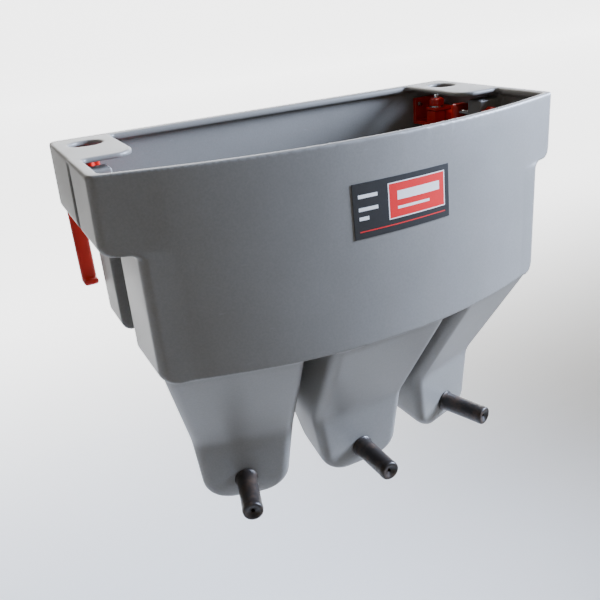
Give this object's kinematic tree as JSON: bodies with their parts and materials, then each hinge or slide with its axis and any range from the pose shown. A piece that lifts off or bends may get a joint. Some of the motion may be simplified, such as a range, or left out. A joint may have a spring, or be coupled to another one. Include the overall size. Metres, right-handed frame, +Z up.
{
  "type": "multi-teat milk feeder",
  "caption": "Hanging multi-teat milk feeder for calves: an open moulded tank with hollow tapered legs, a rubber teat on each, and clamping hooks that hold it on a gate rail.",
  "frame": {"origin": "on the tank's flat back wall, half way along it, at the height of the gate rail's centre line", "axes": "+X along the rail to the right end, +Y out of the back towards the rail, +Z up; the teats point towards -Y"},
  "size_m": [0.6032, 0.3499, 0.473],
  "materials": {
    "polyethylene": "fine matt rotomoulded surface",
    "red_nylon": "injection moulded, satin gloss",
    "rubber": "moulded, slight sheen",
    "stainless": "plain turned",
    "label_film": "laminated film"
  },
  "bodies": {
    "tank": {"tank": "polyethylene", "teat_left": "rubber", "teat_middle": "rubber", "teat_right": "rubber", "label": "label_film", "saddle_left": "red_nylon", "saddle_right": "red_nylon", "clamp_shoe_left": "red_nylon", "clamp_shoe_right": "red_nylon", "lock_bolt_left": "stainless", "lock_bolt_right": "stainless", "saddle_screw_inner_left": "stainless", "saddle_screw_outer_left": "stainless", "saddle_screw_inner_right": "stainless", "saddle_screw_outer_right": "stainless", "saddle_nut_inner_left": "stainless", "saddle_nut_outer_left": "stainless", "saddle_nut_inner_right": "stainless", "saddle_nut_outer_right": "stainless"},
    "rail_hook_left": {"hook_left": "red_nylon", "draw_stud_left": "stainless"},
    "rail_hook_right": {"hook_right": "red_nylon", "draw_stud_right": "stainless"},
    "draw_hand_nut_left": {"draw_nut_left": "red_nylon", "draw_washer_left": "stainless"},
    "draw_hand_nut_right": {"draw_nut_right": "red_nylon", "draw_washer_right": "stainless"},
    "lock_carrier_left": {"lock_washer_left": "stainless"},
    "lock_carrier_right": {"lock_washer_right": "stainless"},
    "lock_hand_nut_left": {"lock_nut_left": "red_nylon"},
    "lock_hand_nut_right": {"lock_nut_right": "red_nylon"}
  },
  "joints": [
    {"name": "draw_nut_turn_left", "type": "hinge", "parent": "tank", "child": "draw_hand_nut_left", "pos_m": [-0.2645, -0.1413, 0.037], "axis": [0, 1, 0], "range_deg": [0, 3460]},
    {"name": "draw_nut_turn_right", "type": "hinge", "parent": "tank", "child": "draw_hand_nut_right", "pos_m": [0.2645, -0.1413, 0.037], "axis": [0, 1, 0], "range_deg": [0, 3460]},
    {"name": "hook_slide_left", "type": "slide", "parent": "tank", "child": "rail_hook_left", "axis": [0, -1, 0], "range_m": [0, 0.012]},
    {"name": "hook_slide_right", "type": "slide", "parent": "tank", "child": "rail_hook_right", "axis": [0, -1, 0], "range_m": [0, 0.012]},
    {"name": "lock_nut_lift_left", "type": "slide", "parent": "tank", "child": "lock_carrier_left", "axis": [0, 0, 1], "range_m": [0, 0.0025]},
    {"name": "lock_nut_lift_right", "type": "slide", "parent": "tank", "child": "lock_carrier_right", "axis": [0, 0, 1], "range_m": [0, 0.0025]},
    {"name": "lock_nut_turn_left", "type": "hinge", "parent": "lock_carrier_left", "child": "lock_hand_nut_left", "pos_m": [-0.258, -0.042, 0.048], "axis": [0, 0, 1], "range_deg": [0, 722]},
    {"name": "lock_nut_turn_right", "type": "hinge", "parent": "lock_carrier_right", "child": "lock_hand_nut_right", "pos_m": [0.258, -0.042, 0.048], "axis": [0, 0, 1], "range_deg": [0, 722]}
  ],
  "couplings": [
    {"joint": "draw_nut_turn_left", "follows": "hook_slide_left", "rad_per_m": 5026.5},
    {"joint": "draw_nut_turn_right", "follows": "hook_slide_right", "rad_per_m": 5026.5},
    {"joint": "lock_nut_turn_left", "follows": "lock_nut_lift_left", "rad_per_m": 5026.5},
    {"joint": "lock_nut_turn_right", "follows": "lock_nut_lift_right", "rad_per_m": 5026.5}
  ]
}
